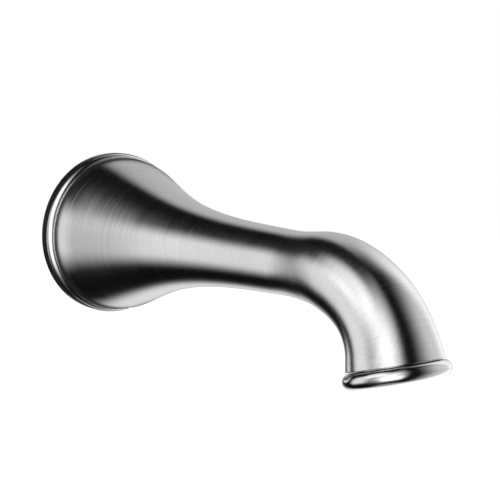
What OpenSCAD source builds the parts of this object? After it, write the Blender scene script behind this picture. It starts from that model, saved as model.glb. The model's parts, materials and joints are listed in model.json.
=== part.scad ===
// Wall mounted bath spout with a pull-down diverter ring.
// The back plane is Y = 0, the spout runs towards -Y and +Z is up.

/* [Display] */
// sub-part to draw

/* [Wall flange] */
// flange diameter
flange_d = 72; // [60:1:90]
// flange depth from the wall
flange_depth = 6.9; // [5:0.1:12]
// radius of the rounded front edge
flange_round = 3.0; // [1:0.1:4]

/* [Bell and neck] */
// bell radius next to the flange
root_r = 34.2; // [28:0.1:42]
// bell radius on its shoulder
shoulder_r = 29.9; // [24:0.1:38]
// bell radius where it runs into the neck
waist_r = 19.4; // [15:0.1:26]
// smallest neck radius
throat_r = 12.45; // [12:0.05:16]
// distance from the wall to the start of the bend
neck_len = 145.6; // [110:0.1:190]

/* [Bend and outlet] */
// radius of the first part of the bend
bend_r1 = 47; // [40:0.5:70]
// angle of the first part of the bend
bend_a1 = 34.3; // [20:0.1:45]
// radius of the second part of the bend
bend_r2 = 30.6; // [28:0.1:50]
// angle of the second part of the bend
bend_a2 = 40.1; // [20:0.1:45]
// straight length after the bend
outlet_len = 3.9; // [2:0.1:12]
// tube radius in the middle of the bend
bend_r = 14.75; // [13:0.05:18]
// tube radius at the outlet end
outlet_r = 17.5; // [16:0.1:20]

/* [Pull ring] */
// outer radius of the pull ring
ring_r = 19.1; // [17:0.1:22]
// radius of the ring's round section
ring_round = 2.9; // [2:0.1:3.5]
// travel of the ring
ring_travel = 6; // [4:0.5:7]

/* [Water passages] */
// radius of the passage in neck and bend
way_r = 9.6; // [8:0.1:10]
// wall of the bell
bell_wall = 3.0; // [2.5:0.1:4]
// radius of the inlet thread, 1/2-14 pipe
inlet_r = 9.3; // [9:0.1:10.5]

/* [Set screw] */
// distance of the set screw from the wall
screw_s = 14; // [12:0.5:20]
// screw radius, M6
screw_r = 3.0; // [2:0.5:4]

/* [Hidden] */
$fn = 96;
run_gap = 0.05;

// stations along the spout, measured from the wall, and the slope at each
root_s = 8;
shoulder_s = 24;
waist_s = 56;
throat_s = 128;
bend_s = 160;
root_m = 0;
shoulder_m = -0.376;
waist_m = -0.243;
throat_m = -0.035;
bend_m = 0.03;
outlet_m = 0.18;
arc1_len = bend_r1 * bend_a1 * PI / 180;
arc2_len = bend_r2 * bend_a2 * PI / 180;
arc1_s = neck_len + arc1_len;
arc2_s = arc1_s + arc2_len;
end_s = arc2_s + outlet_len;

// end of the first arc and of the second arc, as [y, z]
arc1_y = -(neck_len + bend_r1 * sin(bend_a1));
arc1_z = -bend_r1 * (1 - cos(bend_a1));
turn = bend_a1 + bend_a2;
arc2_cy = arc1_y + bend_r2 * sin(bend_a1);
arc2_cz = arc1_z - bend_r2 * cos(bend_a1);
arc2_y = arc2_cy - bend_r2 * sin(turn);
arc2_z = arc2_cz + bend_r2 * cos(turn);
out_y = arc2_y - outlet_len * cos(turn);
out_z = arc2_z - outlet_len * sin(turn);
out_tilt = 90 - turn;
elbow_len = bend_r2 * tan(bend_a2 / 2);

// bell shell
spigot_r = flange_d / 2 - 5.05;
spigot_s = 0.8;
seat_s = flange_depth + 0.1;
seat_r = flange_d / 2 - flange_round;
cavity_r = spigot_r - 3.2;
cavity_end = 38;
collar_r = 18;
collar_s = 8;
socket_r = 14.05;
socket_end = 47;

// flange seal
flange_groove_r = 29.2;
flange_groove_w = 2.2;
flange_seal_s = 3.9;
flange_bore_r = spigot_r + 0.1;
flange_back = 0.3;
gasket_in_r = 32;
gasket_out_r = 34.6;
gasket_t = 1.8;

// inlet adapter
adapter_r = 14.0;
adapter_s = 0.5;
adapter_end = 46;
hex_flats = 30;
hex_len = 7;
pipe_depth = 20.4;
thread_end = 18;
relief_r = 9.8;
adapter_bore_r = 8;
seal_groove_r = 11.6;
seal_groove_w = 3.2;
seal_rear_s = 28;
seal_front_s = 36;
vee_r = 12.6;
vee_w = 5.0;

// set screw
boss_r = 4.8;
boss_end = 30.9;
screw_top = 14.9;
screw_len = 15.2;
screw_key = 3.0;
screw_key_depth = 3.5;
tip_r = 1.9;
tip_base = 13.0;
tip_len = 2.3;

// outlet: heights above the end face of the tube, along the outlet's axis
pocket_r = 13.15;
pocket_h = 12;
seat_bore_r = 11.4;
cart_top = 15.4;
cart_r = 10.75;
cart_bore_r = 9.5;
cart_bottom = -1;
flange_r = 12.8;
flange_low = 10.2;
washer_t = 0.6;
seat_top = 3.7;
seat_low = 2.2;
seat_hole_r = 6;
hub_r = 4.2;
hub_top = 0.6;
hub_bore_r = 3.0;
arm_w = 1.8;
stem_r = 2.0;
stem_thread_r = 1.5;
sleeve_r = pocket_r - 0.1;
sleeve_bore_r = 11.2;
sleeve_top = 9;
sleeve_low = -4.9;
sleeve_step = -2.2;
sleeve_step_r = 11.9;
seal_low = 6;
seal_high = 7.5;
seal_floor_r = 11.85;
ring_top = -0.3;
ring_bottom = ring_top - 2 * ring_round;
ring_lip_r = 10.4;
ring_lip_top = -4.95;
spider_top = -2.25;
spider_low = -4.9;
disc_low = 4 + ring_travel;
disc_face_r = 7.4;
disc_face_t = 1.5;
disc_plate_r = 6.9;
disc_plate_t = 1.2;
cup_r = 4.6;
cup_t = 0.6;
nut_t = 2.4;
nut_flats = 5.5;
coil_r = 3.4;
wire_r = 0.3;
coils = 4;

// smooth curve between two stations with a given radius and slope at each
function curve(s, s0, r0, m0, s1, r1, m1) =
    let (h = s1 - s0, t = (s - s0) / h)
    (2 * t * t * t - 3 * t * t + 1) * r0
    + (t * t * t - 2 * t * t + t) * h * m0
    + (3 * t * t - 2 * t * t * t) * r1
    + (t * t * t - t * t) * h * m1;

// outer radius of the spout at distance s along its centre line
function tube_r(s) =
    s < shoulder_s ? curve(s, root_s, root_r, root_m, shoulder_s, shoulder_r, shoulder_m) :
    s < waist_s ? curve(s, shoulder_s, shoulder_r, shoulder_m, waist_s, waist_r, waist_m) :
    s < throat_s ? curve(s, waist_s, waist_r, waist_m, throat_s, throat_r, throat_m) :
    s < bend_s ? curve(s, throat_s, throat_r, throat_m, bend_s, bend_r, bend_m) :
    curve(s, bend_s, bend_r, bend_m, end_s, outlet_r, outlet_m);

// direction of the centre line below the horizontal
function slope_at(s) =
    s <= neck_len ? 0 :
    s <= arc1_s ? (s - neck_len) / arc1_len * bend_a1 :
    s <= arc2_s ? bend_a1 + (s - arc1_s) / arc2_len * bend_a2 : turn;

// centre line as [y, z]
function centre_at(s) =
    let (a = slope_at(s))
    s <= neck_len ? [-s, 0] :
    s <= arc1_s ? [-(neck_len + bend_r1 * sin(a)), -bend_r1 * (1 - cos(a))] :
    s <= arc2_s ? [arc2_cy - bend_r2 * sin(a), arc2_cz + bend_r2 * cos(a)] :
    [arc2_y - (s - arc2_s) * cos(a), arc2_z - (s - arc2_s) * sin(a)];

// one ring of points around the centre line, drawn in by inset
function ring_at(s, n, inset) =
    let (c = centre_at(s), a = slope_at(s), r = tube_r(s) - inset)
    [for (k = [0 : n - 1])
        let (q = 360 * k / n)
        [r * sin(q), c[0] - r * cos(q) * sin(a), c[1] + r * cos(q) * cos(a)]];

// turns a shape so its own Z runs out of the wall
module from_wall() {
    rotate([90, 0, 0]) children();
}

// places a shape on the outlet's axis, its own Z pointing up into the spout
module at_outlet() {
    translate([0, out_y, out_z]) rotate([-out_tilt, 0, 0]) children();
}

module tube(outer, inner, low, high) {
    rotate_extrude()
        polygon([[inner, low], [outer, low], [outer, high], [inner, high]]);
}

module torus(big, small, at) {
    translate([0, 0, at])
        rotate_extrude()
            translate([big, 0])
                circle(r = small, $fn = 32);
}

module rod(r, low, high) {
    translate([0, 0, low]) cylinder(r = r, h = high - low);
}

module hexagon(flats, low, high) {
    translate([0, 0, low])
        cylinder(r = flats / 2 / cos(30), h = high - low, $fn = 6);
}

// outer form of bell and neck, with the groove for the flange's seal
module bell_form() {
    n = 56;
    first = root_s + 0.2;
    half = flange_groove_w / 2;
    outer = [for (k = [0 : n])
        let (s = first + (neck_len - first) * k / n)
        [tube_r(s), s]];
    from_wall()
        rotate_extrude()
            polygon(concat(
                [[0, spigot_s], [spigot_r, spigot_s], [spigot_r, flange_seal_s - half],
                 [flange_groove_r, flange_seal_s - half], [flange_groove_r, flange_seal_s + half],
                 [spigot_r, flange_seal_s + half], [spigot_r, seat_s], [seat_r, seat_s],
                 [seat_r + 0.6, seat_s + 0.25], [seat_r + 1.0, seat_s + 0.65]],
                outer,
                [[0, neck_len]]));
}

// room inside the bell around the collar
module bell_cavity() {
    n = 13;
    inner = [for (k = [0 : n])
        let (s = 10 + (cavity_end - 10) * k / n)
        [tube_r(s) - bell_wall, s]];
    from_wall()
        rotate_extrude()
            polygon(concat(
                [[0, spigot_s - 1], [cavity_r, spigot_s - 1], [cavity_r, 6.4]],
                inner,
                [[collar_r, cavity_end], [collar_r, collar_s], [0, collar_s]]));
}

// outer form of the bend and the outlet end
module bend_form() {
    n = 48;
    steps = 17;
    rings = concat(
        [ring_at(neck_len - 0.6, n, 0.6), ring_at(neck_len, n, 0.03)],
        [for (k = [1 : steps]) ring_at(neck_len + (end_s - neck_len) * k / steps, n, 0)]);
    last = steps + 1;
    points = [for (ring = rings) for (p = ring) p];
    sides = [for (k = [0 : last - 1]) for (j = [0 : n - 1]) for (half = [0, 1])
        let (a = k * n + j, b = k * n + (j + 1) % n)
        half == 0 ? [a, b + n, a + n] : [a, b, b + n]];
    first_cap = [[for (j = [n - 1 : -1 : 0]) j]];
    last_cap = [[for (j = [0 : n - 1]) last * n + j]];
    polyhedron(points, concat(sides, first_cap, last_cap));
}

// passage from the collar to the outlet and the room for the valve
module passage() {
    near = way_r - 0.1;
    from_wall() {
        rod(socket_r, collar_s - 1, socket_end);
        rod(near, socket_end - 1, neck_len + 0.5);
    }
    translate([0, -neck_len, -bend_r1])
        rotate([0, -90, 180])
            rotate_extrude(angle = bend_a1)
                translate([bend_r1, 0])
                    circle(r = way_r, $fn = 64);
    translate([0, arc1_y, arc1_z])
        rotate([90 + bend_a1, 0, 0])
            translate([0, 0, -0.5])
                cylinder(r = near, h = elbow_len + 0.5);
    at_outlet() {
        translate([0, 0, outlet_len + elbow_len]) sphere(r = way_r, $fn = 64);
        rod(near, pocket_h - 1, outlet_len + elbow_len);
        rod(seat_bore_r, pocket_h - 0.5, cart_top + 0.1);
        rod(pocket_r, -1, pocket_h);
    }
}

module spout_body() {
    color([0.70, 0.68, 0.64])
        difference() {
            union() {
                difference() {
                    union() {
                        bell_form();
                        bend_form();
                    }
                    bell_cavity();
                    passage();
                }
                translate([0, -screw_s, -boss_end])
                    rotate([0, 0, 25])
                        cylinder(r = boss_r, h = boss_end - socket_r - 1);
            }
            translate([0, -screw_s, -40])
                rotate([0, 0, 40])
                    cylinder(r = screw_r + run_gap, h = 40 - socket_r + 2);
        }
}

module wall_flange() {
    n = 10;
    r = flange_d / 2;
    arc = [for (k = [0 : n])
        let (q = 90 * k / n)
        [r - flange_round + flange_round * cos(q),
         flange_depth - flange_round + flange_round * sin(q)]];
    color([0.70, 0.68, 0.64])
        from_wall()
            rotate_extrude()
                polygon(concat(
                    [[flange_bore_r, flange_back], [gasket_in_r - 0.1, flange_back],
                     [gasket_in_r - 0.1, flange_back + gasket_t],
                     [gasket_out_r + 0.1, flange_back + gasket_t],
                     [gasket_out_r + 0.1, flange_back], [r - 0.3, flange_back],
                     [r, flange_back + 0.3]],
                    arc,
                    [[flange_bore_r, flange_depth]]));
}

module wall_gasket() {
    color([0.12, 0.12, 0.12])
        from_wall() tube(gasket_out_r, gasket_in_r, 0, flange_back + gasket_t - 0.02);
}

module flange_o_ring() {
    wire = (flange_bore_r - flange_groove_r) / 2 - 0.02;
    color([0.08, 0.08, 0.08])
        from_wall() torus((flange_bore_r + flange_groove_r) / 2, wire, flange_seal_s);
}

module inlet_adapter() {
    w = seal_groove_w / 2;
    color([0.80, 0.66, 0.36])
        from_wall()
            difference() {
                union() {
                    hexagon(hex_flats, adapter_s, adapter_s + hex_len);
                    rotate_extrude()
                        polygon([
                            [0, adapter_s + hex_len - 1],
                            [adapter_r, adapter_s + hex_len - 1],
                            [adapter_r, screw_s - vee_w / 2],
                            [vee_r, screw_s - vee_w / 2 + 1.2],
                            [vee_r, screw_s + vee_w / 2 - 1.2],
                            [adapter_r, screw_s + vee_w / 2],
                            [adapter_r, seal_rear_s - w],
                            [seal_groove_r, seal_rear_s - w],
                            [seal_groove_r, seal_rear_s + w],
                            [adapter_r, seal_rear_s + w],
                            [adapter_r, seal_front_s - w],
                            [seal_groove_r, seal_front_s - w],
                            [seal_groove_r, seal_front_s + w],
                            [adapter_r, seal_front_s + w],
                            [adapter_r, adapter_end - 1.5],
                            [adapter_r - 1.5, adapter_end],
                            [0, adapter_end]]);
                }
                rod(inlet_r, adapter_s - 1, thread_end + 0.5);
                rod(relief_r, thread_end, pipe_depth);
                rod(adapter_bore_r, adapter_s, adapter_end + 1);
            }
}

module adapter_o_ring(s) {
    wire = (socket_r - seal_groove_r) / 2 - 0.02;
    color([0.08, 0.08, 0.08])
        from_wall() torus((socket_r + seal_groove_r) / 2, wire, s);
}

module adapter_o_ring_rear() {
    adapter_o_ring(seal_rear_s);
}

module adapter_o_ring_front() {
    adapter_o_ring(seal_front_s);
}

module inlet_washer() {
    color([0.10, 0.10, 0.10])
        from_wall() tube(relief_r - 0.05, adapter_bore_r - 0.6, pipe_depth - 2, pipe_depth - 0.02);
}

// three arms from a hub to a rim
module arms(inner, outer, low, high, width) {
    for (k = [0 : 2])
        rotate([0, 0, 120 * k + 90])
            translate([inner, -width / 2, low + 0.2])
                cube([outer - inner, width, high - low - 0.4]);
}

module valve_cartridge() {
    color([0.80, 0.66, 0.36])
        at_outlet()
            difference() {
                union() {
                    rotate_extrude()
                        polygon([
                            [cart_bore_r - 0.8, cart_bottom], [cart_r, cart_bottom],
                            [cart_r, flange_low], [flange_r, flange_low],
                            [flange_r, pocket_h - washer_t], [seat_bore_r - 0.05, pocket_h - washer_t],
                            [seat_bore_r - 0.05, cart_top - 0.5], [seat_bore_r - 0.55, cart_top],
                            [cart_bore_r, cart_top], [cart_bore_r, seat_top - 0.6],
                            [seat_hole_r + 1.2, seat_top - 0.6], [seat_hole_r + 0.9, seat_top],
                            [seat_hole_r, seat_top], [seat_hole_r, seat_low],
                            [cart_bore_r - 0.8, seat_low]]);
                    tube(hub_r, hub_bore_r, cart_bottom, hub_top);
                    arms(hub_r - 0.4, cart_bore_r, cart_bottom, hub_top, arm_w);
                }
                for (side = [0, 180])
                    rotate([0, 0, side])
                        translate([flange_r - 1.0, -1.5, flange_low - 1])
                            cube([3, 3, 1.9]);
            }
}

module cartridge_washer() {
    color([0.15, 0.15, 0.15])
        at_outlet()
            tube(flange_r, seat_bore_r + 0.05, pocket_h - washer_t + 0.01, pocket_h - 0.01);
}

module stem_bush() {
    color([0.93, 0.93, 0.90])
        at_outlet()
            rotate_extrude()
                polygon([
                    [stem_r + run_gap, cart_bottom - 0.25], [hub_r - 0.2, cart_bottom - 0.25],
                    [hub_r - 0.2, cart_bottom - 0.01], [hub_bore_r - 0.01, cart_bottom - 0.01],
                    [hub_bore_r - 0.01, hub_top], [stem_r + run_gap, hub_top]]);
}

module pull_ring() {
    n = 18;
    mid = ring_top - ring_round;
    bead = [for (k = [0 : n])
        let (q = -90 + 180 * k / n)
        [ring_r - ring_round + ring_round * cos(q), mid + ring_round * sin(q)]];
    color([0.70, 0.68, 0.64])
        at_outlet()
            rotate_extrude()
                polygon(concat(
                    [[ring_lip_r, ring_lip_top], [ring_lip_r, ring_bottom + 0.8],
                     [ring_lip_r + 0.8, ring_bottom]],
                    bead,
                    [[sleeve_r + 0.02, ring_top], [sleeve_r + 0.02, ring_lip_top]]));
}

module slide_sleeve() {
    color([0.72, 0.70, 0.66])
        at_outlet()
            rotate_extrude()
                polygon([
                    [sleeve_step_r, sleeve_low], [sleeve_r, sleeve_low], [sleeve_r, seal_low],
                    [seal_floor_r, seal_low], [seal_floor_r, seal_high], [sleeve_r, seal_high],
                    [sleeve_r, sleeve_top - 0.4], [sleeve_r - 0.4, sleeve_top],
                    [sleeve_bore_r, sleeve_top], [sleeve_bore_r, sleeve_step],
                    [sleeve_step_r, sleeve_step]]);
}

module sleeve_o_ring() {
    wire = (pocket_r - 0.06 - seal_floor_r) / 2;
    color([0.08, 0.08, 0.08])
        at_outlet() torus(seal_floor_r + wire + 0.01, wire, (seal_low + seal_high) / 2);
}

module ring_spider() {
    color([0.80, 0.66, 0.36])
        at_outlet() {
            tube(sleeve_step_r - 0.03, sleeve_step_r - 1.3, spider_low, spider_top);
            tube(hub_r - 0.6, stem_thread_r + 0.01, spider_low, spider_top);
            arms(hub_r - 1.0, sleeve_step_r - 0.8, spider_low, spider_top, arm_w);
        }
}

module valve_stem() {
    top = disc_low + disc_face_t + disc_plate_t + nut_t + 0.6;
    color([0.78, 0.77, 0.74])
        at_outlet()
            rotate_extrude()
                polygon([
                    [0, spider_low], [stem_thread_r, spider_low], [stem_thread_r, spider_top + 0.01],
                    [stem_r, spider_top + 0.01], [stem_r, disc_low - cup_t - 0.01],
                    [stem_thread_r, disc_low - cup_t - 0.01], [stem_thread_r, top - 0.3],
                    [stem_thread_r - 0.3, top], [0, top]]);
}

module spring_cup() {
    color([0.78, 0.77, 0.74])
        at_outlet() tube(cup_r, stem_thread_r + 0.02, disc_low - cup_t, disc_low - 0.01);
}

module disc_washer() {
    color([0.10, 0.10, 0.10])
        at_outlet() tube(disc_face_r, stem_thread_r + 0.02, disc_low, disc_low + disc_face_t);
}

module valve_disc() {
    low = disc_low + disc_face_t + 0.01;
    color([0.80, 0.66, 0.36])
        at_outlet() tube(disc_plate_r, stem_thread_r + 0.02, low, low + disc_plate_t);
}

module stem_nut() {
    low = disc_low + disc_face_t + disc_plate_t + 0.02;
    color([0.80, 0.66, 0.36])
        at_outlet()
            difference() {
                hexagon(nut_flats, low, low + nut_t);
                rod(stem_thread_r + 0.02, low - 1, low + nut_t + 1);
            }
}

// coil spring between the cartridge's hub and the cup on the stem
module return_spring() {
    n = 8;
    per_turn = 20;
    low = hub_top + wire_r + 0.05;
    high = disc_low - cup_t - wire_r - 0.05;
    steps = coils * per_turn;
    points = [for (k = [0 : steps]) for (j = [0 : n - 1])
        let (q = 360 * k / per_turn, w = 360 * j / n, r = coil_r + wire_r * cos(w))
        [r * cos(q), r * sin(q), low + (high - low) * k / steps + wire_r * sin(w)]];
    sides = [for (k = [0 : steps - 1]) for (j = [0 : n - 1]) for (half = [0, 1])
        let (a = k * n + j, b = k * n + (j + 1) % n)
        half == 0 ? [a, b + n, a + n] : [a, b, b + n]];
    first_cap = [[for (j = [n - 1 : -1 : 0]) j]];
    last_cap = [[for (j = [0 : n - 1]) steps * n + j]];
    color([0.75, 0.75, 0.76])
        at_outlet() polyhedron(points, concat(sides, first_cap, last_cap));
}

module set_screw() {
    color([0.45, 0.44, 0.42])
        translate([0, -screw_s, -screw_top - screw_len])
            difference() {
                cylinder(r = screw_r, h = screw_len);
                hexagon(screw_key, -1, screw_key_depth);
                translate([0, 0, screw_len - 1.2]) cylinder(r = 1.25, h = 2);
            }
}

module set_screw_tip() {
    color([0.80, 0.66, 0.36])
        translate([0, -screw_s, -screw_top])
            rotate_extrude()
                polygon([
                    [0, -0.9], [1.2, -0.9], [1.2, 0.05], [tip_r, 0.05],
                    [tip_r, 1.0], [1.1, 1.9], [0, 1.9]]);
}

spout_body();
wall_flange();
wall_gasket();
flange_o_ring();
inlet_adapter();
adapter_o_ring_rear();
adapter_o_ring_front();
inlet_washer();
valve_cartridge();
cartridge_washer();
stem_bush();
pull_ring();
slide_sleeve();
sleeve_o_ring();
ring_spider();
valve_stem();
spring_cup();
disc_washer();
valve_disc();
stem_nut();
return_spring();
set_screw();
set_screw_tip();
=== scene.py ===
"""Wall mounted bath spout with a pull-down ring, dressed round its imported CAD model."""
import json
import math

import bmesh
import bpy
from mathutils import Matrix, Vector


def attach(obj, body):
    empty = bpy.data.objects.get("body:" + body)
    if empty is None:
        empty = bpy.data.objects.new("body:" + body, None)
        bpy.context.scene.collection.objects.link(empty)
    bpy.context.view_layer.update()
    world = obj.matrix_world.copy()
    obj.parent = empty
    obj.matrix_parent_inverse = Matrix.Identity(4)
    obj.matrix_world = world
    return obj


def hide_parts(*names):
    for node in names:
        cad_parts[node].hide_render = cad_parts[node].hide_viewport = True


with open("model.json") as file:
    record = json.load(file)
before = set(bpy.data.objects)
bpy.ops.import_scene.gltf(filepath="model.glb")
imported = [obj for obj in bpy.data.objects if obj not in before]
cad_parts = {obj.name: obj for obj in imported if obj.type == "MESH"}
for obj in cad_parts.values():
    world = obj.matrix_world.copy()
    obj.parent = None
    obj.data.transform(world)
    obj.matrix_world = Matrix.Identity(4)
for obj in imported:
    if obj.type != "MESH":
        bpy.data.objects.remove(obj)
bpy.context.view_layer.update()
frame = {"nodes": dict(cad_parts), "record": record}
nodes = frame["nodes"]
MM = 0.001
ROUND_STEPS = 192  # points round each turned piece

# ---------------------------------------------------------------- driving sizes, in mm
FLANGE_R, FLANGE_DEPTH, FLANGE_ROUND = 36.0, 6.9, 3.0
NECK_LEN, BEND_R1, BEND_A1, BEND_R2, BEND_A2, OUTLET_LEN = 145.6, 47.0, 34.3, 30.6, 40.1, 3.9
WAY_R, BELL_WALL, COLLAR_R, COLLAR_S, SOCKET_R, SOCKET_END = 9.6, 3.0, 18.0, 8.0, 14.05, 47.0
CAVITY_END, SPIGOT_S, SEAT_S, SEAT_R = 38.0, 0.8, 7.0, 33.0
SPIGOT_R = FLANGE_R - 5.05
CAVITY_R = SPIGOT_R - 3.2
POCKET_R, POCKET_H, SEAT_BORE_R, CART_TOP = 13.15, 12.0, 11.4, 15.5
RING_R, RING_ROUND, RING_TOP = 19.1, 2.9, -0.3
SCREW_S, SCREW_R, BOSS_R, BOSS_END = 14.0, 3.05, 4.8, 30.9
ARC1 = math.radians(BEND_A1)
TURN = math.radians(BEND_A1 + BEND_A2)
ARC1_S = NECK_LEN + BEND_R1 * ARC1
ARC2_S = ARC1_S + BEND_R2 * math.radians(BEND_A2)
END_S = ARC2_S + OUTLET_LEN
# station, radius and slope of the outside of the spout
STATIONS = [(8.0, 34.2, 0.0), (24.0, 29.9, -0.376), (56.0, 19.4, -0.243),
            (128.0, 12.45, -0.035), (160.0, 14.75, 0.03), (END_S, 17.5, 0.18)]


def curve(s, a, b):
    """Smooth radius between two stations, keeping the slope of each."""
    (s0, r0, m0), (s1, r1, m1) = a, b
    h = s1 - s0
    t = (s - s0) / h
    return ((2 * t**3 - 3 * t**2 + 1) * r0 + (t**3 - 2 * t**2 + t) * h * m0
            + (3 * t**2 - 2 * t**3) * r1 + (t**3 - t**2) * h * m1)


def tube_r(s):
    """Outside radius at distance s along the centre line."""
    for a, b in zip(STATIONS[:-1], STATIONS[1:]):
        if s <= b[0]:
            return curve(s, a, b)
    return STATIONS[-1][1]


def centre(s):
    """Point on the centre line at distance s, and how far it has turned down there."""
    if s <= NECK_LEN:
        return Vector((0, -s, 0)), 0.0
    if s <= ARC1_S:
        q = (s - NECK_LEN) / BEND_R1
        return Vector((0, -(NECK_LEN + BEND_R1 * math.sin(q)), -BEND_R1 * (1 - math.cos(q)))), q
    y1 = -(NECK_LEN + BEND_R1 * math.sin(ARC1))
    z1 = -BEND_R1 * (1 - math.cos(ARC1))
    cy, cz = y1 + BEND_R2 * math.sin(ARC1), z1 - BEND_R2 * math.cos(ARC1)
    q = ARC1 + (min(s, ARC2_S) - ARC1_S) / BEND_R2
    p = Vector((0, cy - BEND_R2 * math.sin(q), cz + BEND_R2 * math.cos(q)))
    if s > ARC2_S:
        p += Vector((0, -math.cos(q), -math.sin(q))) * (s - ARC2_S)
    return p, q


OUT, _ = centre(END_S)
OUT_DIR = Vector((0, -math.cos(TURN), -math.sin(TURN)))


# ---------------------------------------------------------------- mesh helpers
def ring_points(c, q, r, n):
    """n points round centre c, in a plane turned down by q."""
    up = Vector((0, -math.sin(q), math.cos(q)))
    side = Vector((1, 0, 0))
    return [(c + r * (math.cos(t) * up + math.sin(t) * side)) * MM
            for t in (2 * math.pi * k / n + math.pi for k in range(n))]


def loft(name, rings, n, closed):
    """Skin over rings of n points. Each ring is (centre, turn, radius, distance along)."""
    me = bpy.data.meshes.new(name)
    verts, faces, uvs = [], [], []
    for c, q, r, d in rings:
        verts += ring_points(c, q, r, n)
    count = len(rings)
    for i in range(count if closed else count - 1):
        j = (i + 1) % count
        d0, d1 = rings[i][3], rings[j][3]
        if j == 0:
            d1 = d0 + 3
        for k in range(n):
            m = (k + 1) % n
            faces.append((i * n + k, i * n + m, j * n + m, j * n + k))
            uvs += [(d0 / 100, k / n), (d0 / 100, (k + 1) / n),
                    (d1 / 100, (k + 1) / n), (d1 / 100, k / n)]
    me.from_pydata(verts, [], faces)
    layer = me.uv_layers.new(name="along_around")
    layer.data.foreach_set("uv", [x for uv in uvs for x in uv])
    bm = bmesh.new()
    bm.from_mesh(me)
    bmesh.ops.recalc_face_normals(bm, faces=bm.faces)
    bm.to_mesh(me)
    bm.free()
    ob = bpy.data.objects.new(name, me)
    bpy.context.scene.collection.objects.link(ob)
    return ob


def smooth(ob, angle):
    """Smooth shading, with edges over this many degrees kept sharp."""
    for p in ob.data.polygons:
        p.use_smooth = True
    ob.data.set_sharp_from_angle(angle=math.radians(angle))


def place(ob, body, stands_for):
    """Ride a body and replace one CAD node."""
    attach(ob, body)
    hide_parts(stands_for)


def arc_profile(cx, cy, r, a0, a1, n):
    """Points (radius, distance) on an arc, angles in degrees from the outward direction."""
    out = []
    for k in range(n + 1):
        a = math.radians(a0 + (a1 - a0) * k / n)
        out.append((cx + r * math.cos(a), cy + r * math.sin(a)))
    return out


def along_wall_axis(profile):
    """Rings for (radius, distance from wall) points about the inlet's axis."""
    rings, d = [], 0.0
    for i, (r, s) in enumerate(profile):
        if i:
            d += math.dist(profile[i], profile[i - 1])
        rings.append((Vector((0, -s, 0)), 0.0, r, d))
    return rings


def along_outlet(profile):
    """Rings for (radius, height above the outlet's end face) points."""
    rings, d = [], 0.0
    for i, (r, z) in enumerate(profile):
        if i:
            d += math.dist(profile[i], profile[i - 1])
        rings.append((OUT - OUT_DIR * z, TURN, r, d))
    return rings


def cylinder_tool(name, r, z0, z1, n=64):
    """Upright cylinder at the set screw, used to cut and to add."""
    me = bpy.data.meshes.new(name)
    bm = bmesh.new()
    bmesh.ops.create_cone(bm, cap_ends=True, segments=n, radius1=r * MM, radius2=r * MM,
                          depth=(z1 - z0) * MM)
    bm.transform(Matrix.Translation(Vector((0, -SCREW_S, (z0 + z1) / 2)) * MM))
    bm.to_mesh(me)
    bm.free()
    ob = bpy.data.objects.new(name, me)
    bpy.context.scene.collection.objects.link(ob)
    return ob


def boolean(ob, tool, how):
    """Join or cut with the tool, then drop the tool."""
    mod = ob.modifiers.new(how, "BOOLEAN")
    mod.operation, mod.object, mod.solver = how, tool, "EXACT"
    dg = bpy.context.evaluated_depsgraph_get()
    me = bpy.data.meshes.new_from_object(ob.evaluated_get(dg))
    ob.modifiers.clear()
    old, ob.data = ob.data, me
    bpy.data.meshes.remove(old)
    bpy.data.objects.remove(tool)


# ---------------------------------------------------------------- materials
def new_material(name):
    """A node material, with its tree and its shader."""
    mat = bpy.data.materials.new(name)
    mat.use_nodes = True
    nt = mat.node_tree
    bsdf = nt.nodes["Principled BSDF"]
    return mat, nt, bsdf


def add(nt, kind, **values):
    """A node whose named inputs or settings take these values."""
    node = nt.nodes.new(kind)
    for key, value in values.items():
        if key in node.inputs:
            node.inputs[key].default_value = value
        else:
            setattr(node, key, value)
    return node


def math_node(nt, op, a, b=None):
    """One sum on numbers or sockets."""
    node = nt.nodes.new("ShaderNodeMath")
    node.operation = op
    for i, v in enumerate((a, b)):
        if v is None:
            continue
        if isinstance(v, (int, float)):
            node.inputs[i].default_value = v
        else:
            nt.links.new(v, node.inputs[i])
    return node.outputs[0]


def spread(nt, value, low, high, to_low, to_high, kind="LINEAR"):
    """Map low..high onto to_low..to_high."""
    node = nt.nodes.new("ShaderNodeMapRange")
    node.interpolation_type = kind
    nt.links.new(value, node.inputs["Value"])
    for key, v in (("From Min", low), ("From Max", high), ("To Min", to_low), ("To Max", to_high)):
        node.inputs[key].default_value = v
    return node.outputs["Result"]


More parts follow.
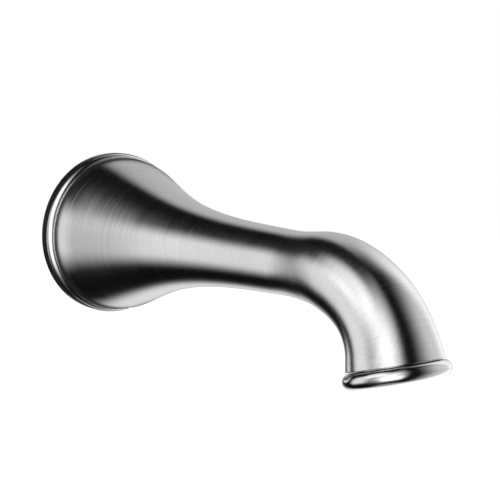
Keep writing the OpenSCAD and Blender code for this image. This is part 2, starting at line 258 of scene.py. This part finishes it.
def brushed(name, color, rough, line_depth, aniso, slant=0.0):
    """Metal brushed round the piece: lines go round, the gloss spreads along it."""
    mat, nt, bsdf = new_material(name)
    uv = add(nt, "ShaderNodeUVMap", uv_map="along_around")
    split = add(nt, "ShaderNodeSeparateXYZ")
    nt.links.new(uv.outputs[0], split.inputs[0])
    turn = math_node(nt, "MULTIPLY", split.outputs[1], 2 * math.pi)
    cosine = math_node(nt, "COSINE", turn)
    sine = math_node(nt, "SINE", turn)

    def lines(along, around, detail):
        vec = add(nt, "ShaderNodeCombineXYZ")
        nt.links.new(math_node(nt, "MULTIPLY", split.outputs[0], along), vec.inputs[0])
        nt.links.new(math_node(nt, "MULTIPLY", cosine, around), vec.inputs[1])
        nt.links.new(math_node(nt, "MULTIPLY", sine, around), vec.inputs[2])
        noise = add(nt, "ShaderNodeTexNoise", Scale=1.0, Detail=detail, Roughness=0.6)
        nt.links.new(vec.outputs[0], noise.inputs["Vector"])
        return noise.outputs["Fac"]

    def strokes(across, along, detail):
        """Straight strokes leaning across the bend, where the brush ran at a slant."""
        place_at = add(nt, "ShaderNodeTexCoord")
        vec = add(nt, "ShaderNodeCombineXYZ")
        lean = Vector((0.46, -0.22, 0.86)).normalized()
        side = lean.cross(Vector((1, 0, 0))).normalized()
        for i, (d, k) in enumerate(((side, across), (lean.cross(side), across), (lean, along))):
            dot = add(nt, "ShaderNodeVectorMath", operation="DOT_PRODUCT")
            nt.links.new(place_at.outputs["Object"], dot.inputs[0])
            dot.inputs[1].default_value = d * k
            nt.links.new(dot.outputs["Value"], vec.inputs[i])
        noise = add(nt, "ShaderNodeTexNoise", Scale=1.0, Detail=detail, Roughness=0.6)
        nt.links.new(vec.outputs[0], noise.inputs["Vector"])
        return noise.outputs["Fac"]

    def blend(straight, slanted):
        mixer = add(nt, "ShaderNodeMix", data_type="FLOAT")
        nt.links.new(bend_part, mixer.inputs[0])
        nt.links.new(straight, mixer.inputs[2])
        nt.links.new(slanted, mixer.inputs[3])
        return mixer.outputs[0]

    bend_part = spread(nt, split.outputs[0], 1.42, 1.75, 0, slant, "SMOOTHSTEP")
    fine = blend(lines(320.0, 0.9, 4.0), strokes(2600.0, 60.0, 4.0))
    coarse = lines(150.0, 0.8, 3.0)
    patch = lines(9.0, 1.6, 2.0)
    long_strokes = blend(lines(230.0, 0.45, 2.0), strokes(1900.0, 45.0, 2.0))
    scratch = spread(nt, long_strokes, 0.57, 0.75, 0.0, 0.06, "SMOOTHSTEP")
    mix = math_node(nt, "ADD", math_node(nt, "MULTIPLY", fine, 0.6),
                    math_node(nt, "MULTIPLY", coarse, 0.4))
    shade = spread(nt, mix, 0.34, 0.66, 0.89, 1.07)
    tint = add(nt, "ShaderNodeMix", data_type="RGBA", blend_type="MULTIPLY")
    tint.inputs["Factor"].default_value = 1.0
    tint.inputs[6].default_value = (*color, 1)
    grey = add(nt, "ShaderNodeCombineXYZ")
    for i in range(3):
        nt.links.new(shade, grey.inputs[i])
    nt.links.new(grey.outputs[0], tint.inputs[7])
    nt.links.new(tint.outputs[2], bsdf.inputs["Base Color"])
    r = math_node(nt, "ADD", spread(nt, mix, 0.3, 0.7, rough - 0.04, rough + 0.04),
                  math_node(nt, "ADD", scratch, spread(nt, patch, 0.3, 0.7, -0.015, 0.015)))
    nt.links.new(r, bsdf.inputs["Roughness"])
    bump = add(nt, "ShaderNodeBump", Strength=0.35, Distance=line_depth * MM)
    nt.links.new(mix, bump.inputs["Height"])
    nt.links.new(bump.outputs[0], bsdf.inputs["Normal"])
    tangent = add(nt, "ShaderNodeTangent", direction_type="UV_MAP", uv_map="along_around")
    nt.links.new(tangent.outputs[0], bsdf.inputs["Tangent"])
    bsdf.inputs["Metallic"].default_value = 1.0
    bsdf.inputs["Anisotropic"].default_value = aniso
    return mat


def turned(name, color, rough, scale, depth, metallic=1.0, stretch=(1, 1, 1)):
    """Machined metal, rubber or plastic with a fine procedural surface."""
    mat, nt, bsdf = new_material(name)
    pos = add(nt, "ShaderNodeTexCoord")
    mapping = add(nt, "ShaderNodeMapping")
    mapping.inputs["Scale"].default_value = stretch
    nt.links.new(pos.outputs["Object"], mapping.inputs["Vector"])
    noise = add(nt, "ShaderNodeTexNoise", Scale=scale, Detail=5.0, Roughness=0.6)
    nt.links.new(mapping.outputs[0], noise.inputs["Vector"])
    shade = spread(nt, noise.outputs["Fac"], 0.3, 0.7, 0.93, 1.05)
    tint = add(nt, "ShaderNodeMix", data_type="RGBA", blend_type="MULTIPLY")
    tint.inputs["Factor"].default_value = 1.0
    tint.inputs[6].default_value = (*color, 1)
    grey = add(nt, "ShaderNodeCombineXYZ")
    for i in range(3):
        nt.links.new(shade, grey.inputs[i])
    nt.links.new(grey.outputs[0], tint.inputs[7])
    nt.links.new(tint.outputs[2], bsdf.inputs["Base Color"])
    nt.links.new(spread(nt, noise.outputs["Fac"], 0.3, 0.7, rough - 0.06, rough + 0.06),
                 bsdf.inputs["Roughness"])
    bump = add(nt, "ShaderNodeBump", Strength=0.4, Distance=depth * MM)
    nt.links.new(noise.outputs["Fac"], bump.inputs["Height"])
    nt.links.new(bump.outputs[0], bsdf.inputs["Normal"])
    bsdf.inputs["Metallic"].default_value = metallic
    return mat


NICKEL = (0.70, 0.70, 0.70)
nickel = brushed("brushed_nickel_lines", NICKEL, 0.21, 0.008, 0.65, slant=1.0)
nickel_ring = brushed("brushed_nickel_ring", NICKEL, 0.16, 0.006, 0.4)
sleeve_steel = turned("sleeve_metal", (0.66, 0.65, 0.64), 0.24, 900.0, 0.01)
brass = turned("turned_brass", (0.72, 0.53, 0.26), 0.32, 700.0, 0.001, stretch=(1, 3, 1))
steel = turned("screw_steel", (0.55, 0.55, 0.56), 0.34, 800.0, 0.004)
rubber = turned("black_rubber", (0.030, 0.030, 0.032), 0.62, 500.0, 0.03, metallic=0.0)
acetal = turned("white_acetal", (0.80, 0.80, 0.77), 0.45, 400.0, 0.02, metallic=0.0)


# ---------------------------------------------------------------- spout body
def make_body():
    """Closed skin of the cast spout, outside then inside, with its screw boss and hole."""
    rings, d = [], 0.0

    def put(c, q, r):
        nonlocal d
        if rings:
            d += max((c - rings[-1][0]).length, abs(r - rings[-1][2]))
        rings.append((c, q, r, d))

    def on_axis(r, s):
        put(Vector((0, -s, 0)), 0.0, r)

    def at_outlet(r, z):
        put(OUT - OUT_DIR * z, TURN, r)

    # outside, from the wall to the outlet
    for r, s in ((CAVITY_R + 0.3, SPIGOT_S), (SPIGOT_R - 0.2, SPIGOT_S), (SPIGOT_R, SPIGOT_S + 0.2),
                 (SPIGOT_R, 2.8), (29.2, 2.8), (29.2, 5.0), (SPIGOT_R, 5.0), (SPIGOT_R, SEAT_S),
                 (SEAT_R, SEAT_S)):
        on_axis(r, s)
    for r, s in arc_profile(SEAT_R, SEAT_S + 1.2, 1.2, -90, -8, 10)[1:]:
        on_axis(r, s)
    steps = 300
    first = SEAT_S + 1.8
    for k in range(steps + 1):
        s = first + (END_S - 0.35 - first) * k / steps
        c, q = centre(s)
        put(c, q, tube_r(s))
    for r, z in arc_profile(tube_r(END_S) - 0.35, 0.35, 0.35, 0, -90, 6):
        at_outlet(r, z)
    # inside, from the outlet back to the wall
    for r, z in ((POCKET_R + 0.4, 0.0), (POCKET_R, 0.4), (POCKET_R, POCKET_H),
                 (SEAT_BORE_R, POCKET_H), (SEAT_BORE_R, CART_TOP),
                 (WAY_R + 0.2, CART_TOP + 0.1)):
        at_outlet(r, z)
    inner_end = END_S - 23.0
    for k in range(25):
        s = inner_end + (NECK_LEN - inner_end) * k / 24
        c, q = centre(s)
        put(c, q, WAY_R)
    for r, s in ((WAY_R, SOCKET_END + 0.4), (WAY_R + 0.4, SOCKET_END), (SOCKET_R, SOCKET_END),
                 (SOCKET_R, COLLAR_S + 1.0), (SOCKET_R + 1.0, COLLAR_S), (COLLAR_R - 0.5, COLLAR_S),
                 (COLLAR_R, COLLAR_S + 0.5)):
        on_axis(r, s)
    for k in range(9):
        on_axis(COLLAR_R, COLLAR_S + 1 + (CAVITY_END - 3 - COLLAR_S) * k / 8)
    gap = tube_r(CAVITY_END) - BELL_WALL - COLLAR_R
    for a in range(1, 8):
        t = math.pi * a / 8
        on_axis(COLLAR_R + gap * (1 - math.cos(t)) / 2, CAVITY_END - 2 + 2 * math.sin(t))
    for k in range(29):
        s = CAVITY_END - 2 + (10 - CAVITY_END + 2) * k / 28
        on_axis(tube_r(s) - BELL_WALL, s)
    for r, s in ((CAVITY_R + 1.6, 8.2), (CAVITY_R, 6.4), (CAVITY_R, SPIGOT_S + 0.3)):
        on_axis(r, s)
    ob = loft("spout_shell", rings, ROUND_STEPS, closed=True)
    boolean(ob, cylinder_tool("boss", BOSS_R, -BOSS_END, -SOCKET_R - 1.0), "UNION")
    boolean(ob, cylinder_tool("hole", SCREW_R, -40.0, -SOCKET_R + 2.0), "DIFFERENCE")
    smooth(ob, 32)
    ob.data.materials.clear()
    ob.data.materials.append(nickel)
    place(ob, "spout", "spout_body")


def make_flange():
    """Trim ring at the wall, with the groove for its gasket."""
    r0, s0 = SPIGOT_R + 0.1, 0.3
    profile = [(r0 + 0.2, s0), (31.9, s0), (31.9, s0 + 1.8), (34.7, s0 + 1.8), (34.7, s0),
               (FLANGE_R - 0.35, s0)]
    profile += arc_profile(FLANGE_R - 0.35, s0 + 0.35, 0.35, -90, 0, 6)[1:]
    profile += [(FLANGE_R, 0.8 + 3.1 * k / 6) for k in range(6)]
    profile += arc_profile(FLANGE_R - FLANGE_ROUND, FLANGE_DEPTH - FLANGE_ROUND,
                           FLANGE_ROUND, 0, 90, 28)
    profile += [(32.2, FLANGE_DEPTH), (r0 + 0.3, FLANGE_DEPTH), (r0, FLANGE_DEPTH - 0.3),
                (r0, s0 + 0.2)]
    ob = loft("flange_ring", along_wall_axis(profile), ROUND_STEPS, closed=True)
    smooth(ob, 35)
    ob.data.materials.append(nickel_ring)
    place(ob, "spout", "wall_flange")


def make_pull_ring():
    """The bead at the outlet."""
    mid, core = RING_TOP - RING_ROUND, RING_R - RING_ROUND
    profile = [(13.07, -4.95), (13.07, RING_TOP - 0.2), (13.3, RING_TOP)]
    profile += arc_profile(core, mid, RING_ROUND, 90, -90, 48)
    foot = mid - RING_ROUND
    profile += [(11.6, foot), (11.0, foot + 0.1), (10.5, foot + 0.45), (10.4, foot + 0.8),
                (10.4, -4.95)]
    ob = loft("bead_ring", along_outlet(profile), ROUND_STEPS, closed=True)
    smooth(ob, 35)
    ob.data.materials.append(nickel_ring)
    place(ob, "diverter", "pull_ring")


make_body()
make_flange()
make_pull_ring()

FINISHES = {"brass": brass, "steel": steel, "rubber": rubber, "acetal": acetal,
            "brushed_nickel": sleeve_steel}
slots = {p["node"]: p["material_slot"] for p in frame["record"]["subparts"]}
for node, ob in nodes.items():
    ob.data.materials.clear()
    ob.data.materials.append(FINISHES[slots[node]])


# ---------------------------------------------------------------- studio
def make_floor():
    """Pale floor below, seen from above but not in the metal."""
    me = bpy.data.meshes.new("floor")
    bm = bmesh.new()
    bmesh.ops.create_grid(bm, x_segments=8, y_segments=8, size=6.0)
    bm.transform(Matrix.Translation((0, 0, -0.9)))
    bm.to_mesh(me)
    bm.free()
    ob = bpy.data.objects.new("floor", me)
    bpy.context.scene.collection.objects.link(ob)
    mat, _, bsdf = new_material("pale_floor")
    bsdf.inputs["Base Color"].default_value = (0.95, 0.95, 0.95, 1)
    bsdf.inputs["Roughness"].default_value = 0.9
    bsdf.inputs["Emission Color"].default_value = (1, 1, 1, 1)
    bsdf.inputs["Emission Strength"].default_value = 0.75
    me.materials.append(mat)
    ob.visible_glossy = False


def make_dark_ring():
    """Black ring behind the flange, seen only in reflections: it gives the rim its dark edge."""
    rings = [(Vector((0, 3.0, 0)), 0.0, r, r) for r in (37.5, 43.0, 49.0)]
    ob = loft("dark_ring", rings, 96, closed=False)
    mat, _, bsdf = new_material("card_black")
    bsdf.inputs["Base Color"].default_value = (0.01, 0.01, 0.01, 1)
    bsdf.inputs["Roughness"].default_value = 0.9
    ob.data.materials.append(mat)
    ob.visible_camera = False
    ob.visible_shadow = False


def make_world():
    """White to the camera. The metal sees a dark room with soft panels round it."""
    world = bpy.data.worlds.new("studio")
    bpy.context.scene.world = world
    world.use_nodes = True
    nt = world.node_tree
    nt.nodes.clear()
    out = nt.nodes.new("ShaderNodeOutputWorld")
    coord = nt.nodes.new("ShaderNodeTexCoord")
    split = nt.nodes.new("ShaderNodeSeparateXYZ")
    nt.links.new(coord.outputs["Generated"], split.inputs[0])
    x, y, z = split.outputs
    deg = 180 / math.pi
    toward = math_node(nt, "MULTIPLY", y, -1.0)
    az = math_node(nt, "MULTIPLY", math_node(nt, "ARCTAN2", x, toward), deg)
    el = math_node(nt, "MULTIPLY", math_node(nt, "ARCSINE", z), deg)

    def window(value, a, b, c, d):
        """0 outside a..d, 1 inside b..c, smooth between."""
        return math_node(nt, "MULTIPLY", spread(nt, value, a, b, 0, 1, "SMOOTHSTEP"),
                         spread(nt, value, c, d, 1, 0, "SMOOTHSTEP"))

    def bell(value, middle, width):
        off = math_node(nt, "DIVIDE", math_node(nt, "SUBTRACT", value, middle), width)
        squared = math_node(nt, "MULTIPLY", off, off)
        return math_node(nt, "EXPONENT", math_node(nt, "MULTIPLY", squared, -0.5))

    def panel(side, height, level):
        return math_node(nt, "MULTIPLY", math_node(nt, "MULTIPLY", side, height), level)

    key = panel(bell(az, -61, 23), bell(el, 15, 29), 2.2)
    parts = [
        math_node(nt, "MULTIPLY", key, spread(nt, az, -36, -12, 1, 0, "SMOOTHSTEP")),
        panel(window(az, -160, -142, -125, -95), window(el, -42, -14, 12, 38), 1.30),
        panel(window(az, 0, 66, 95, 135), window(el, -85, -35, 25, 75), 1.00),
        panel(window(az, 70, 110, 148, 169), window(el, -80, -40, 45, 85), 0.75),
        panel(window(az, 60, 95, 155, 178), window(el, -89, -70, -34, -14), 0.50),
        panel(window(az, -84, -62, -34, -20), window(el, -48, -28, -6, 10), 1.3),
    ]
    behind = spread(nt, y, 0.955, 0.995, 0.0, 1.5, "SMOOTHSTEP")
    below = spread(nt, el, -72, -84, 0.0, 0.4, "SMOOTHSTEP")
    total = math_node(nt, "ADD", math_node(nt, "ADD", behind, below), 0.006)
    for p in parts:
        total = math_node(nt, "ADD", p, total)
    studio = nt.nodes.new("ShaderNodeBackground")
    nt.links.new(total, studio.inputs["Strength"])
    backdrop = nt.nodes.new("ShaderNodeBackground")
    backdrop.inputs["Strength"].default_value = 1.0
    backdrop.inputs["Color"].default_value = (1, 1, 1, 1)
    path = nt.nodes.new("ShaderNodeLightPath")
    mix = nt.nodes.new("ShaderNodeMixShader")
    nt.links.new(path.outputs["Is Camera Ray"], mix.inputs[0])
    nt.links.new(studio.outputs[0], mix.inputs[1])
    nt.links.new(backdrop.outputs[0], mix.inputs[2])
    nt.links.new(mix.outputs[0], out.inputs[0])


def make_card(name, middle, aim, size, level):
    """Soft-edged glowing card near the spout, seen only in reflections. Sizes in mm."""
    me = bpy.data.meshes.new(name)
    bm = bmesh.new()
    bmesh.ops.create_grid(bm, x_segments=2, y_segments=2, size=size / 2 * MM)
    bm.to_mesh(me)
    bm.free()
    ob = bpy.data.objects.new(name, me)
    bpy.context.scene.collection.objects.link(ob)
    turn = (Vector(aim) - Vector(middle)).to_track_quat("Z", "Y").to_matrix().to_4x4()
    me.transform(Matrix.Translation(Vector(middle) * MM) @ turn)
    mat, nt, bsdf = new_material(name)
    nt.nodes.remove(bsdf)
    coord = add(nt, "ShaderNodeTexCoord")
    local = add(nt, "ShaderNodeVectorMath", operation="SUBTRACT")
    nt.links.new(coord.outputs["Object"], local.inputs[0])
    local.inputs[1].default_value = Vector(middle) * MM
    length = add(nt, "ShaderNodeVectorMath", operation="LENGTH")
    nt.links.new(local.outputs[0], length.inputs[0])
    inner, outer = 0.15 * size * MM, 0.5 * size * MM
    glow = spread(nt, length.outputs["Value"], inner, outer, level, 0, "SMOOTHSTEP")
    emit = add(nt, "ShaderNodeEmission")
    nt.links.new(glow, emit.inputs["Strength"])
    clear = add(nt, "ShaderNodeBsdfTransparent")
    both = add(nt, "ShaderNodeAddShader")
    nt.links.new(emit.outputs[0], both.inputs[0])
    nt.links.new(clear.outputs[0], both.inputs[1])
    nt.links.new(both.outputs[0], nt.nodes["Material Output"].inputs[0])
    me.materials.append(mat)
    ob.visible_camera = False
    ob.visible_shadow = False


def make_camera():
    """Placed at 31 degrees to the spout's axis, a little above it, as in the photograph."""
    data = bpy.data.cameras.new("camera")
    cam = bpy.data.objects.new("camera", data)
    bpy.context.scene.collection.objects.link(cam)
    data.sensor_width = 36.0
    data.lens = 89.92
    data.clip_start, data.clip_end = 0.01, 50.0
    dist, alpha, elev = 0.573, math.radians(31.2), math.radians(6.36)
    yaw, pitch, roll = math.radians(-6.35), math.radians(-0.84), math.radians(0.3)
    out = Vector((-math.sin(alpha) * math.cos(elev), -math.cos(alpha) * math.cos(elev),
                  math.sin(elev)))
    look = Matrix.Rotation(yaw, 3, "Z") @ -out
    right = look.cross(Vector((0, 0, 1))).normalized()
    up = right.cross(look)
    look = look * math.cos(pitch) + up * math.sin(pitch)
    up = right.cross(look)
    r2 = right * math.cos(roll) + up * math.sin(roll)
    u2 = -right * math.sin(roll) + up * math.cos(roll)
    m = Matrix((r2, u2, -look)).transposed().to_4x4()
    m.translation = out * dist
    cam.matrix_world = m
    bpy.context.scene.camera = cam


make_floor()
make_dark_ring()
make_card("upper_left_card", (-208, -112, 155), (-10, -165, -5), 340, 1.1)
make_world()
make_camera()
bpy.context.scene.view_settings.view_transform = "Standard"
bpy.context.scene.view_settings.look = "None"
